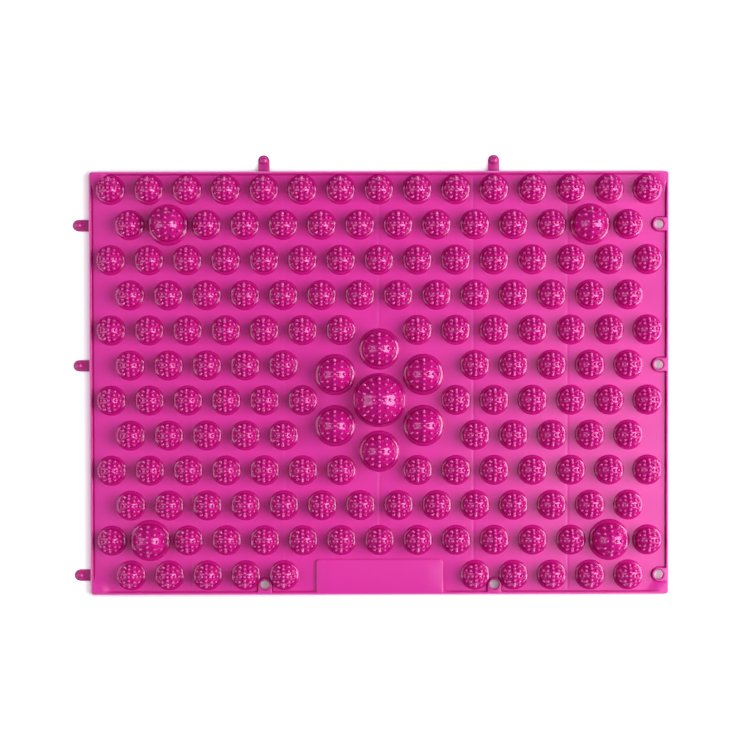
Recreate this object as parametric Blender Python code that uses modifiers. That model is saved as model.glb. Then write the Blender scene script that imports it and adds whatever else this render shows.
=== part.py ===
"""Acupressure foot mat: a moulded plate that carries staggered rows of soft massage heads.

The origin is the middle of the plate on the floor, +X to the right, +Y to the back edge and +Z up. The bare
label pad is at the front edge. Mats join edge to edge: tabs with pegs stand out on the left and at the back,
and lugs with sockets lie inside the right and front edges.
"""

import math

import bmesh
import bpy
from mathutils import Vector

MM = 0.001

# Plate
PLATE_LENGTH = 390.0 * MM
PLATE_WIDTH = 285.0 * MM
PLATE_CORNER_RADIUS = 3.0 * MM
SKIN_THICKNESS = 2.0 * MM
SKIN_UNDERSIDE_HEIGHT = 2.2 * MM
RIM_WIDTH = 1.8 * MM
RIM_LIP = 1.8 * MM
RIM_CHAMFER = 0.4 * MM
CORNER_RAMP_RADIUS = 14.0 * MM
CORNER_RAMP_SLOPE_WIDTH = 6.0 * MM
CORNER_RAMP_SIDES = 12
RIB_WIDTH = 2.0 * MM
RIB_PITCH = 63.4 * MM

# Label pad at the front edge
PAD_LENGTH = 85.2 * MM
PAD_DEPTH = 24.0 * MM
PAD_CORNER_RADIUS = 2.5 * MM
PAD_WALL = 2.0 * MM

# Grid of heads
HEAD_PITCH = 25.8 * MM
ROW_PITCH = 23.6 * MM
RIM_GAP = 0.1 * MM
HEAD_GAP = 1.0 * MM
CLUSTER_GAP = 2.25 * MM
RING_COUNT = 6
# How many places of its row stand outside a corner head
CORNER_SKIP_COUNT = 1

# Small heads
SMALL_FLANGE_RADIUS = 10.2 * MM
SMALL_DOME_RADIUS = 8.1 * MM
SMALL_HEIGHT = 11.0 * MM
SMALL_FLANGE_HEIGHT = 1.7 * MM
SMALL_SHOULDER = 0.5 * MM
SMALL_SIDES = 8
SMALL_DOME_STEPS = 2
SMALL_ROOT_DEPTH = 0.8 * MM

# Large heads: six in the ring and one near each corner
LARGE_FLANGE_RADIUS = 13.95 * MM
LARGE_DOME_RADIUS = 11.7 * MM
LARGE_HEIGHT = 15.5 * MM
LARGE_FLANGE_HEIGHT = 2.2 * MM
LARGE_PLUG_RADIUS = 5.5 * MM
LARGE_SIDES = 14

# Centre head
CENTRE_FLANGE_RADIUS = 18.2 * MM
CENTRE_DOME_RADIUS = 16.3 * MM
CENTRE_HEIGHT = 19.5 * MM
CENTRE_FLANGE_HEIGHT = 2.5 * MM
CENTRE_PLUG_RADIUS = 6.5 * MM
CENTRE_SIDES = 20

# What every head shares: how far a flange falls from the dome's foot to its shoulder
FLANGE_FALL = 0.2 * MM

# What every separate head shares
FLANGE_SHOULDER = 0.9 * MM
DOME_STEPS = 4
COLLAR_OVERHANG = 1.5 * MM
COLLAR_THICKNESS = 1.0 * MM
SEAT_GAP = 0.3 * MM
SEAT_SIDES = 10
SEAT_COUNTERBORE = 0.2 * MM

# Connector tabs and their pegs, on the left and back edges
TAB_WIDTH = 7.7 * MM
TAB_REACH = 7.7 * MM
TAB_UNDERSIDE_HEIGHT = 0.2 * MM
TAB_THICKNESS = 2.2 * MM
PEG_RADIUS = 2.7 * MM
PEG_SHORTFALL = 0.6 * MM
PEG_DOME_RISE = 1.35 * MM
PEG_SIDES = 8
PEG_DOME_STEPS = 2
# Rows of the side tabs, in steps from the back row; -1 is the front row
SIDE_TAB_ROW_STEPS = (1, 5, -1)
# Places of the back tabs, in steps of the head pitch from the middle
BACK_TAB_PITCH_STEPS = (-3, 3)

# Connector lugs and their sockets, inside the right and front edges
LUG_WIDTH = 8.4 * MM
SOCKET_CLEARANCE = 0.35 * MM
SOCKET_SIDES = 12
TAB_CLEARANCE = 0.3 * MM
MAT_TO_MAT_GAP = 1.0 * MM

# Modelling allowances: how far a cutter runs past a face, and how far a joined piece goes into its neighbour
CUT_MARGIN = 1.0 * MM
JOIN_DEPTH = 0.9 * MM
ARC_STEPS = 3
END_STEPS = 5
WELD_DISTANCE = 1e-6

# Heights that follow from the sizes above
SKIN_TOP = SKIN_UNDERSIDE_HEIGHT + SKIN_THICKNESS
RIM_TOP = SKIN_TOP + RIM_LIP
TAB_TOP = TAB_UNDERSIDE_HEIGHT + TAB_THICKNESS
POCKET_CEILING = TAB_TOP + TAB_CLEARANCE
SOCKET_INSET = TAB_REACH - MAT_TO_MAT_GAP

PLATE_COLOUR = (0.78, 0.045, 0.40, 1.0)
PLATE_ROUGHNESS = 0.35
HEAD_COLOUR = (0.60, 0.012, 0.21, 1.0)
HEAD_ROUGHNESS = 0.22

# A bevel takes the edges that are sharper than this, and shading breaks at the other one
CHAMFER_ANGLE = math.radians(60)
SMOOTH_ANGLE = math.radians(40)


def clear_scene():
    """Remove what the default scene holds."""
    for item in list(bpy.data.objects):
        bpy.data.objects.remove(item, do_unlink=True)


def new_collection(name):
    """Make a collection in the scene."""
    collection = bpy.data.collections.new(name)
    bpy.context.scene.collection.children.link(collection)
    return collection


def new_material(name, colour, roughness):
    """Make a moulded plastic or rubber: one colour, no metal."""
    material = bpy.data.materials.new(name)
    material.use_nodes = True
    shader = material.node_tree.nodes["Principled BSDF"]
    shader.inputs["Base Color"].default_value = colour
    shader.inputs["Roughness"].default_value = roughness
    shader.inputs["Metallic"].default_value = 0.0
    return material


def baked(source, name, collection, material=None):
    """Turn an object with its modifiers into a plain welded mesh object at the same place."""
    bpy.context.view_layer.update()
    evaluated = source.evaluated_get(bpy.context.evaluated_depsgraph_get())
    mesh = bpy.data.meshes.new_from_object(evaluated)
    cleaned = bmesh.new()
    cleaned.from_mesh(mesh)
    bmesh.ops.remove_doubles(cleaned, verts=cleaned.verts, dist=WELD_DISTANCE)
    bmesh.ops.recalc_face_normals(cleaned, faces=cleaned.faces)
    cleaned.to_mesh(mesh)
    cleaned.free()
    mesh.materials.clear()
    if material:
        mesh.materials.append(material)
    result = bpy.data.objects.new(name, mesh)
    result.matrix_world = source.matrix_world
    collection.objects.link(result)
    bpy.data.objects.remove(source, do_unlink=True)
    return result


def flat_solid(name, outline, low, high, collection):
    """Make a solid from a flat outline, standing from one height to another."""
    curve = bpy.data.curves.new(name, "CURVE")
    curve.dimensions = "2D"
    curve.fill_mode = "BOTH"
    curve.extrude = (high - low) / 2
    spline = curve.splines.new("POLY")
    spline.points.add(len(outline) - 1)
    for point, (x, y) in zip(spline.points, outline):
        point.co = (x, y, 0, 1)
    spline.use_cyclic_u = True
    source = bpy.data.objects.new(name + "_outline", curve)
    source.location.z = (low + high) / 2
    collection.objects.link(source)
    return baked(source, name, collection)


def turned_solid(name, profile, sides, collection, material=None):
    """Turn a profile of radius and height points round +Z, from the top down its outer side."""
    mesh = bpy.data.meshes.new(name + "_profile")
    points = [(radius, 0, height) for radius, height in profile]
    mesh.from_pydata(points, [(i, i + 1) for i in range(len(points) - 1)], [])
    source = bpy.data.objects.new(name + "_profile", mesh)
    # Half a side's turn puts the flats of an eight-sided head towards its row and the rim.
    source.rotation_euler.z = math.pi / sides
    collection.objects.link(source)
    screw = source.modifiers.new("Turn", "SCREW")
    screw.steps = sides
    screw.render_steps = sides
    screw.use_merge_vertices = True
    screw.merge_threshold = WELD_DISTANCE
    return baked(source, name, collection, material)


def as_cutter(item):
    """Mark an object as a tool that isn't part of the mat."""
    item.hide_render = True
    item.display_type = "WIRE"
    return item


def combine(target, operation, tool):
    """Add one exact Boolean to an object."""
    step = target.modifiers.new(operation.title() + " " + tool.name, "BOOLEAN")
    step.operation = operation
    step.solver = "EXACT"
    step.object = tool


def merged(name, items, collection):
    """Put several objects that don't touch into one tool."""
    result = bmesh.new()
    for item in items:
        copy = item.data.copy()
        copy.transform(item.matrix_world)
        result.from_mesh(copy)
        bpy.data.meshes.remove(copy)
        bpy.data.objects.remove(item, do_unlink=True)
    mesh = bpy.data.meshes.new(name)
    result.to_mesh(mesh)
    result.free()
    tool = bpy.data.objects.new(name, mesh)
    collection.objects.link(tool)
    return as_cutter(tool)


def rectangle(low, high):
    """Return a rectangle's outline, anticlockwise."""
    return [low, (high[0], low[1]), high, (low[0], high[1])]


def rounded_rectangle(low, high, radius):
    """Return a rectangle's outline, anticlockwise, with its corners as arcs."""
    outline = []
    centres = (
        (high[0] - radius, high[1] - radius),
        (low[0] + radius, high[1] - radius),
        (low[0] + radius, low[1] + radius),
        (high[0] - radius, low[1] + radius),
    )
    for quarter, (x, y) in enumerate(centres):
        for step in range(ARC_STEPS + 1):
            angle = (quarter + step / ARC_STEPS) * math.pi / 2
            outline.append((x + radius * math.cos(angle), y + radius * math.sin(angle)))
    return outline


def tongue(tip, direction, width, length):
    """Return a strip's outline: a round end about tip, and a straight body that runs against direction."""
    along = Vector(direction)
    across = Vector((-along.y, along.x))
    half = width / 2
    outline = []
    for step in range(END_STEPS + 1):
        angle = math.pi * (step / END_STEPS - 0.5)
        outline.append(Vector(tip) + half * (math.cos(angle) * along + math.sin(angle) * across))
    outline.append(Vector(tip) + half * across - length * along)
    outline.append(Vector(tip) - half * across - length * along)
    return [tuple(point) for point in outline]


def row_count():
    """Return how many rows fit between the back and front rims."""
    edge = RIM_WIDTH + RIM_GAP + SMALL_FLANGE_RADIUS
    return int((PLATE_WIDTH - 2 * edge) / ROW_PITCH) + 1


def row_y(row):
    """Return a row's Y, counted from the back edge; the first row stands just inside the rim."""
    first = PLATE_WIDTH / 2 - RIM_WIDTH - RIM_GAP - SMALL_FLANGE_RADIUS
    return first - (row % row_count()) * ROW_PITCH


def row_places(row):
    """Return the X of every place in a row; odd rows are shifted by half a pitch."""
    shift = 0.5 * (row % 2)
    limit = PLATE_LENGTH / 2 - RIM_WIDTH - SMALL_FLANGE_RADIUS
    reach = int(limit / HEAD_PITCH) + 1
    places = [(place + shift) * HEAD_PITCH for place in range(-reach - 1, reach + 1)]
    return [x for x in places if abs(x) <= limit]


def cluster_centre():
    """Return the place of the centre head, on the middle row."""
    return (0.0, row_y(row_count() // 2))


def ring_places():
    """Return the places of the heads round the centre head, clockwise from the back one."""
    centre = cluster_centre()
    reach = CENTRE_FLANGE_RADIUS + LARGE_FLANGE_RADIUS + CLUSTER_GAP
    places = []
    for head in range(RING_COUNT):
        angle = math.pi / 2 - head * 2 * math.pi / RING_COUNT
        places.append((centre[0] + reach * math.cos(angle), centre[1] + reach * math.sin(angle)))
    return places


def corner_places():
    """Return the corner heads' places by name, in the rows next to the back and front ones."""
    places = {}
    for side, row in (("back", 1), ("front", row_count() - 2)):
        columns = row_places(row)
        places[side + "_left"] = (columns[CORNER_SKIP_COUNT], row_y(row))
        places[side + "_right"] = (columns[-1 - CORNER_SKIP_COUNT], row_y(row))
    return places


def small_places():
    """Return the places of the small heads: the grid, less what the large heads and the label pad take."""
    large = [(place, LARGE_FLANGE_RADIUS) for place in ring_places() + list(corner_places().values())]
    large.append((cluster_centre(), CENTRE_FLANGE_RADIUS))
    pad_half = PAD_LENGTH / 2 + HEAD_GAP
    pad_back = PAD_DEPTH - PLATE_WIDTH / 2 + HEAD_GAP
    places = []
    for row in range(row_count()):
        y = row_y(row)
        for x in row_places(row):
            crowded = any(
                math.dist((x, y), place) < radius + SMALL_FLANGE_RADIUS + HEAD_GAP for place, radius in large
            )
            on_pad = abs(x) - SMALL_FLANGE_RADIUS < pad_half and y - SMALL_FLANGE_RADIUS < pad_back
            if not crowded and not on_pad:
                places.append((x, y))
    return places


def tab_ends():
    """Return the peg place and outward direction of each tab."""
    left = [((-PLATE_LENGTH / 2 - TAB_REACH, row_y(row)), (-1, 0)) for row in SIDE_TAB_ROW_STEPS]
    back = [((n * HEAD_PITCH, PLATE_WIDTH / 2 + TAB_REACH), (0, 1)) for n in BACK_TAB_PITCH_STEPS]
    return left + back


def lug_ends():
    """Return the socket place and inward direction of each lug, in line with the opposite edge's tabs."""
    right = [((PLATE_LENGTH / 2 - SOCKET_INSET, row_y(row)), (-1, 0)) for row in SIDE_TAB_ROW_STEPS]
    front = [((n * HEAD_PITCH, SOCKET_INSET - PLATE_WIDTH / 2), (0, 1)) for n in BACK_TAB_PITCH_STEPS]
    return right + front


def dome_arc(radius, foot, top, steps):
    """Return a dome's profile from its apex down to its foot."""
    points = []
    for step in range(steps + 1):
        angle = math.pi / 2 * (1 - step / steps)
        points.append((radius * math.cos(angle) if step else 0.0, foot + (top - foot) * math.sin(angle)))
    return points


def seated_head_profile(flange_radius, dome_radius, height, flange_height, plug_radius):
    """Return a separate head's profile: dome, flange on the plate, plug through it and collar beneath."""
    top = SKIN_TOP + height
    flange_top = SKIN_TOP + flange_height
    seat = SKIN_TOP + SEAT_GAP
    collar_top = SKIN_UNDERSIDE_HEIGHT - SEAT_GAP
    collar_radius = plug_radius + COLLAR_OVERHANG
    profile = dome_arc(dome_radius, flange_top, top, DOME_STEPS)
    profile += [
        (flange_radius - FLANGE_SHOULDER, flange_top - FLANGE_FALL),
        (flange_radius, flange_top - FLANGE_SHOULDER),
        (flange_radius, seat),
        (plug_radius, seat),
        (plug_radius, collar_top),
        (collar_radius, collar_top),
        (plug_radius, collar_top - COLLAR_THICKNESS),
        (0.0, collar_top - COLLAR_THICKNESS),
    ]
    return profile


def pin_profile(radius, low, high):
    """Return a plain cylinder's profile."""
    return [(0.0, high), (radius, high), (radius, low), (0.0, low)]


def small_head_profile():
    """Return a small head's profile, whose root goes into the plate."""
    profile = dome_arc(
        SMALL_DOME_RADIUS, SKIN_TOP + SMALL_FLANGE_HEIGHT, SKIN_TOP + SMALL_HEIGHT, SMALL_DOME_STEPS
    )
    profile += [
        (SMALL_FLANGE_RADIUS - SMALL_SHOULDER, SKIN_TOP + SMALL_FLANGE_HEIGHT - FLANGE_FALL),
        (SMALL_FLANGE_RADIUS, SKIN_TOP - SMALL_ROOT_DEPTH),
        (0.0, SKIN_TOP - SMALL_ROOT_DEPTH),
    ]
    return profile


def turned_copies(name, profile, sides, places, tools):
    """Make one turned solid at each place, all in one tool."""
    pattern = turned_solid(name + "_pattern", profile, sides, tools)
    copies = []
    for place in places:
        copy = bpy.data.objects.new(name, pattern.data)
        copy.matrix_world = pattern.matrix_world
        copy.location = (place[0], place[1], 0)
        tools.objects.link(copy)
        copies.append(copy)
    bpy.context.view_layer.update()
    bpy.data.objects.remove(pattern, do_unlink=True)
    return merged(name, copies, tools)


def top_pocket(tools):
    """Make the tool that sinks the plate's top inside its rim but not at the pad, lugs and corners."""
    half_x = PLATE_LENGTH / 2
    half_y = PLATE_WIDTH / 2
    inner_x = half_x - RIM_WIDTH
    inner_y = half_y - RIM_WIDTH
    inner_radius = PLATE_CORNER_RADIUS - RIM_WIDTH
    outline = rounded_rectangle((-inner_x, -inner_y), (inner_x, inner_y), inner_radius)
    pocket = flat_solid("top_pocket", outline, SKIN_TOP, RIM_TOP + CUT_MARGIN, tools)

    keep_low = SKIN_TOP - CUT_MARGIN
    keep_high = RIM_TOP + 2 * CUT_MARGIN
    pad_outline = rounded_rectangle(
        (-PAD_LENGTH / 2, -half_y - CUT_MARGIN - PAD_CORNER_RADIUS),
        (PAD_LENGTH / 2, PAD_DEPTH - half_y),
        PAD_CORNER_RADIUS,
    )
    raised = [flat_solid("label_pad", pad_outline, keep_low, keep_high, tools)]
    for socket, inward in lug_ends():
        outline = tongue(socket, inward, LUG_WIDTH, SOCKET_INSET + CUT_MARGIN)
        raised.append(flat_solid("lug", outline, keep_low, keep_high, tools))
    combine(pocket, "DIFFERENCE", merged("raised_pads", raised, tools))

    slope = CORNER_RAMP_SLOPE_WIDTH / RIM_LIP
    ramps = []
    for x in (-half_x, half_x):
        for y in (-half_y, half_y):
            profile = [
                (0.0, keep_high),
                (CORNER_RAMP_RADIUS - slope * (keep_high - SKIN_TOP), keep_high),
                (CORNER_RAMP_RADIUS + slope * CUT_MARGIN, keep_low),
                (0.0, keep_low),
            ]
            ramp = turned_solid("corner_ramp", profile, CORNER_RAMP_SIDES, tools)
            ramp.location = (x, y, 0)
            ramps.append(ramp)
    bpy.context.view_layer.update()
    combine(pocket, "DIFFERENCE", merged("corner_ramps", ramps, tools))
    return as_cutter(pocket)


def rib_places():
    """Return the X of each rib under the plate; the outer ones stay half a pitch or more from the rim."""
    each_side = int((PLATE_LENGTH / 2 - RIM_WIDTH) / RIB_PITCH - 0.5)
    return [n * RIB_PITCH for n in range(-each_side, each_side + 1)]


def underside_cells(tools):
    """Make the tool that hollows the plate's underside between its ribs."""
    inner_x = PLATE_LENGTH / 2 - RIM_WIDTH
    inner_y = PLATE_WIDTH / 2 - RIM_WIDTH
    walls = [-inner_x - RIB_WIDTH / 2] + rib_places() + [inner_x + RIB_WIDTH / 2]
    cells = []
    for left, right in zip(walls, walls[1:]):
        outline = rectangle((left + RIB_WIDTH / 2, -inner_y), (right - RIB_WIDTH / 2, inner_y))
        cells.append(flat_solid("cell", outline, -CUT_MARGIN, SKIN_UNDERSIDE_HEIGHT, tools))
    return merged("underside_cells", cells, tools)


def pad_hollow(tools):
    """Make the tool that hollows the label pad from beneath, so that its wall is as thick as the plate's."""
    low = (PAD_WALL - PAD_LENGTH / 2, RIM_WIDTH - PLATE_WIDTH / 2)
    high = (PAD_LENGTH / 2 - PAD_WALL, PAD_DEPTH - PAD_WALL - PLATE_WIDTH / 2)
    ceiling = RIM_TOP - SKIN_THICKNESS
    return as_cutter(flat_solid("pad_hollow", rectangle(low, high), -CUT_MARGIN, ceiling, tools))


def lug_pockets(tools):
    """Make the tool for the pockets that a neighbour's tabs slide into, open at the mat's edge."""
    pockets = []
    for socket, inward in lug_ends():
        width = TAB_WIDTH + 2 * TAB_CLEARANCE
        length = SOCKET_INSET + CUT_MARGIN
        outline = tongue(socket, inward, width, length)
        pockets.append(flat_solid("lug_pocket", outline, -CUT_MARGIN, POCKET_CEILING, tools))
    return merged("lug_pockets", pockets, tools)


def socket_holes(tools):
    """Make the tool for the sockets that a neighbour's pegs stand in."""
    profile = pin_profile(PEG_RADIUS + SOCKET_CLEARANCE, -CUT_MARGIN, RIM_TOP + CUT_MARGIN)
    places = [socket for socket, inward in lug_ends()]
    return turned_copies("socket_holes", profile, SOCKET_SIDES, places, tools)


def tabs_and_pegs(tools):
    """Make the connector tabs and the domed pegs that stand on them."""
    tabs = []
    for tip, outward in tab_ends():
        outline = tongue(tip, outward, TAB_WIDTH, TAB_REACH + JOIN_DEPTH)
        tabs.append(flat_solid("tab", outline, TAB_UNDERSIDE_HEIGHT, TAB_TOP, tools))
    tab_tool = merged("tabs", tabs, tools)
    peg_top = RIM_TOP - PEG_SHORTFALL
    profile = dome_arc(PEG_RADIUS, peg_top - PEG_DOME_RISE, peg_top, PEG_DOME_STEPS)
    profile += [(PEG_RADIUS, TAB_TOP - JOIN_DEPTH), (0.0, TAB_TOP - JOIN_DEPTH)]
    places = [tip for tip, outward in tab_ends()]
    return tab_tool, turned_copies("pegs", profile, PEG_SIDES, places, tools)


def cut_seats(plate, name, places, plug_radius, tools):
    """Cut a hole for each plug, wider below the skin where a rib would stand in the collar's way."""
    # The hole's flats, not its corners, keep the seat gap to the plug and its collar.
    out_to_corner = 1 / math.cos(math.pi / SEAT_SIDES)
    hole = (plug_radius + SEAT_GAP) * out_to_corner
    relief = (plug_radius + COLLAR_OVERHANG + SEAT_GAP) * out_to_corner
    plain = pin_profile(hole, -CUT_MARGIN, SKIN_TOP + CUT_MARGIN)
    step = SKIN_UNDERSIDE_HEIGHT + SEAT_COUNTERBORE
    stepped = plain[:2] + [(hole, step), (relief, step), (relief, -CUT_MARGIN), (0.0, -CUT_MARGIN)]
    reach = relief + RIB_WIDTH / 2
    at_rib = [place for place in places if any(abs(place[0] - rib) < reach for rib in rib_places())]
    clear = [place for place in places if place not in at_rib]
    for kind, profile, group in (("plain", plain, clear), ("stepped", stepped, at_rib)):
        if group:
            tool = turned_copies("_".join((name, kind, "seats")), profile, SEAT_SIDES, group, tools)
            combine(plate, "DIFFERENCE", tool)


def base_plate(parts, tools, material):
    """Make the plate with its rim, ribs, pad, connectors and the small heads that are fused with it."""
    corner = (PLATE_LENGTH / 2, PLATE_WIDTH / 2)
    outline = rounded_rectangle((-corner[0], -corner[1]), corner, PLATE_CORNER_RADIUS)
    plate = flat_solid("base_plate", outline, 0.0, RIM_TOP, parts)
    plate.data.materials.append(material)
    chamfer = plate.modifiers.new("Rim chamfer", "BEVEL")
    chamfer.width = RIM_CHAMFER
    chamfer.segments = 1
    chamfer.limit_method = "ANGLE"
    chamfer.angle_limit = CHAMFER_ANGLE

    combine(plate, "DIFFERENCE", top_pocket(tools))
    combine(plate, "DIFFERENCE", underside_cells(tools))
    combine(plate, "DIFFERENCE", pad_hollow(tools))
    combine(plate, "DIFFERENCE", lug_pockets(tools))
    combine(plate, "DIFFERENCE", socket_holes(tools))
    for tool in tabs_and_pegs(tools):
        combine(plate, "UNION", tool)
    cut_seats(plate, "centre_head", [cluster_centre()], CENTRE_PLUG_RADIUS, tools)
    cut_seats(plate, "large_head", ring_places() + list(corner_places().values()), LARGE_PLUG_RADIUS, tools)
    heads = turned_copies("small_heads", small_head_profile(), SMALL_SIDES, small_places(), tools)
    combine(plate, "UNION", heads)
    return plate


def seated_head(name, place, mesh, parts):
    """Stand one separate head in its seat."""
    head = bpy.data.objects.new(name, mesh)
    head.location = (place[0], place[1], 0)
    parts.objects.link(head)
    return head


def large_heads(parts, tools, material):
    """Make the centre head, the ring heads and the corner heads."""
    centre = turned_solid(
        "centre_pattern",
        seated_head_profile(
            CENTRE_FLANGE_RADIUS, CENTRE_DOME_RADIUS, CENTRE_HEIGHT, CENTRE_FLANGE_HEIGHT, CENTRE_PLUG_RADIUS
        ),
        CENTRE_SIDES,
        tools,
        material,
    )
    large = turned_solid(
        "large_pattern",
        seated_head_profile(
            LARGE_FLANGE_RADIUS, LARGE_DOME_RADIUS, LARGE_HEIGHT, LARGE_FLANGE_HEIGHT, LARGE_PLUG_RADIUS
        ),
        LARGE_SIDES,
        tools,
        material,
    )
    for pattern in (centre, large):
        pattern.data.transform(pattern.matrix_world)
        pattern.data.shade_smooth()
        pattern.data.set_sharp_from_angle(angle=SMOOTH_ANGLE)
    seated_head("centre_head", cluster_centre(), centre.data, parts)
    for number, place in enumerate(ring_places(), start=1):
        seated_head("ring_head_" + str(number), place, large.data, parts)
    for corner, place in corner_places().items():
        seated_head("corner_head_" + corner, place, large.data, parts)
    bpy.data.objects.remove(centre, do_unlink=True)
    bpy.data.objects.remove(large, do_unlink=True)


def main():
    """Build the mat."""
    clear_scene()
    parts = new_collection("acupressure_foot_mat")
    tools = new_collection("cutters")
    plate_material = new_material("plate_satin_plastic", PLATE_COLOUR, PLATE_ROUGHNESS)
    head_material = new_material("head_soft_rubber", HEAD_COLOUR, HEAD_ROUGHNESS)
    base_plate(parts, tools, plate_material)
    large_heads(parts, tools, head_material)


main()
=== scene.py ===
"""Acupressure foot mat: the finished mat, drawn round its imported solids.

The mat lies on the floor with its middle at the origin, +X to the right, +Y to the back edge and +Z up, in
metres. Small heads stand in staggered rows. Larger ones stand in a ring about the centre head and near each
corner.
"""

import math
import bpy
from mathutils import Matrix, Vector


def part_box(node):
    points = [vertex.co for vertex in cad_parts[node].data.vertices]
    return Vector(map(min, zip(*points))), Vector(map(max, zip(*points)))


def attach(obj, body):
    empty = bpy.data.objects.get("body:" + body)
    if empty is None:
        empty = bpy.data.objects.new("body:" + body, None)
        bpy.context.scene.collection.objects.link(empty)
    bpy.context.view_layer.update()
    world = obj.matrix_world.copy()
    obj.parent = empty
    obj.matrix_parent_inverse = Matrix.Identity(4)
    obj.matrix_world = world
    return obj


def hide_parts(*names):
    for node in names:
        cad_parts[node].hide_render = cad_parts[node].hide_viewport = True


bl_info = {
    "name": "Acupressure Foot Mat",
    "version": (1, 0, 0),
    "blender": (4, 5, 0),
    "location": "3D View > Sidebar > Foot Mat",
    "description": "Makes a moulded foot mat with nubbed massage heads and snap connectors",
    "category": "Add Mesh",
}

import bmesh
import bpy
from bpy.props import FloatProperty, FloatVectorProperty, PointerProperty
from mathutils import Matrix, Vector
from mathutils.geometry import delaunay_2d_cdt

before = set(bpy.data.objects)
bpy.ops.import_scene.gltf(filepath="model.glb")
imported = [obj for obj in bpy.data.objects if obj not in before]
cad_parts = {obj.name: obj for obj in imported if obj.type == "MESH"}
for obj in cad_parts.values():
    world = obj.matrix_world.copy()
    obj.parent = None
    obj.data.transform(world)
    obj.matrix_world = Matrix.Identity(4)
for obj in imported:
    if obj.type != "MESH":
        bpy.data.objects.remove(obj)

MM = 0.001
BODY = "root"
PLATE_NODE = "base_plate"
CENTRE_NODE = "centre_head"
RING_NODES = sorted(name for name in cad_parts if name.startswith("ring_head"))
CORNER_NODES = sorted(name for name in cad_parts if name.startswith("corner_head"))
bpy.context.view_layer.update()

# The plate's own edges: nothing stands out past its right and front ones.
PLATE_LOW, PLATE_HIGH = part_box(PLATE_NODE)
HALF_LENGTH = PLATE_HIGH.x
HALF_WIDTH = -PLATE_LOW.y

# Heights over the floor, as in the solids
SKIN_UNDERSIDE = 2.2 * MM
SKIN_TOP = 4.2 * MM
RIM_TOP = 6.0 * MM
TAB_BOTTOM = 0.2 * MM
TAB_TOP = 2.4 * MM
PEG_TOP = 5.4 * MM
POCKET_CEILING = 2.7 * MM
PAD_CEILING = 4.0 * MM
COLLAR_TOP = 1.9 * MM
COLLAR_BOTTOM = 0.9 * MM

# Small rounds, lips, gaps and clearances
BOTTOM_ROUND = 0.3 * MM
CELL_CORNER = 1.5 * MM
PAD_HOLLOW_CORNER = 1.0 * MM
POCKET_MOUTH_CORNER = 0.1 * MM
SOCKET_EDGE = 0.1 * MM
TAB_EDGE = 0.4 * MM
TAB_BASE_CORNER = 0.5 * MM
PEG_DOME_RISE = 2.3 * MM
COLLAR_LIP = 1.5 * MM
SEAT_GAP = 0.05 * MM
SKIN_CLEARANCE = 1.0 * MM

# The groove's round foot by the rim, and its lip on the other side: how far past its width, and how far
# under the skin
GROOVE_FOOT = 0.1 * MM
GROOVE_LIP = ((0.1 * MM, 0.2 * MM), (0.35 * MM, 0.0))

# Grid of heads and connectors, as in the solids
ROW_COUNT = 12
CONNECTOR_ROWS = (1, 5, 11)
CONNECTOR_STEPS = (-3, 3)

# A flange's shape: shares of its width, out from the dome's foot, and of its height. It leaves the dome in a
# crease, slopes gently outwards like a cone and then falls steeply to the plate.
FLANGE_SHAPE = (
    (0.04, 0.80), (0.09, 0.90), (0.15, 0.95), (0.30, 0.89), (0.45, 0.825), (0.58, 0.755), (0.69, 0.67),
    (0.79, 0.54), (0.88, 0.36), (0.95, 0.17), (1.0, 0.02),
)

# A nub's shape: shares of its radius and its height, from its round tip to its root in the dome
NUB_SHAPE = (
    (0.0, 1.0), (0.38, 0.96), (0.66, 0.85), (0.86, 0.66), (0.97, 0.40), (1.03, 0.15), (1.20, 0.0),
    (1.20, -0.4), (0.0, -0.4),
)

# Rings of nubs round the one in a head's middle: radius in millimetres and number of nubs
SMALL_RINGS = ((2.35, 4), (4.55, 8), (6.45, 12))
LARGE_RINGS = ((3.1, 4), (6.3, 8), (9.3, 12))
CENTRE_RINGS = ((3.5, 4), (7.15, 8), (10.75, 16), (13.9, 16))

# How finely curves are cut, and the longest edge along a straight, seen or hidden beneath
ARC_ANGLE = math.radians(11.25)
SHARP_ANGLE = math.radians(35)
STRAIGHT_STEP = 2.0 * MM
HIDDEN_STEP = 20.0 * MM
EDGE_STEPS = 4
PEG_STEPS = 6
DOME_STEPS = 12
RAMP_RINGS = 5
RAMP_STEPS = 18
SINK_STEPS = 3
NUB_SIDES = 8
SNAP_SIDES = 32
SMALL_SIDES = 32
LARGE_SIDES = 48
CENTRE_SIDES = 64

# What welding joins, and how far a cut or a join reaches past the plate. The pad's hollow starts a little
# behind the front end of the cells, so that no two faces lie in one plane.
WELD = 1e-6
SLIVER = 0.02 * MM
CUT_MARGIN = 1.0 * MM
JOIN_DEPTH = 0.9 * MM
PAD_INSET = 0.1 * MM

# Each kind of cut ends at its own depth under the floor, for the same reason.
CELL_END = -1.0 * MM
PAD_END = -1.1 * MM
POCKET_END = -1.2 * MM
SOCKET_END = -1.3 * MM

# Patterns of the two materials, each with lumps of a real size
PLATE_DRIFT = {"Scale": 1 / (60 * MM), "Detail": 2.0, "Roughness": 0.55}
PLATE_GRAIN = {"Scale": 1 / (0.5 * MM), "Detail": 1.0, "Roughness": 0.55}
HEAD_DRIFT = {"Scale": 1 / (25 * MM), "Detail": 2.0, "Roughness": 0.55}
HEAD_WEAR = {"Scale": 1 / (3 * MM), "Detail": 2.0, "Roughness": 0.55}

# What the patterns do to the surface
PLATE_ROUGHNESS = {"To Min": 0.28, "To Max": 0.36}
PLATE_BUMP = {"Strength": 0.12, "Distance": 0.03 * MM}
HEAD_ROUGHNESS = {"To Min": 0.10, "To Max": 0.16}
HEAD_BUMP = {"Strength": 0.05, "Distance": 0.05 * MM}

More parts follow.
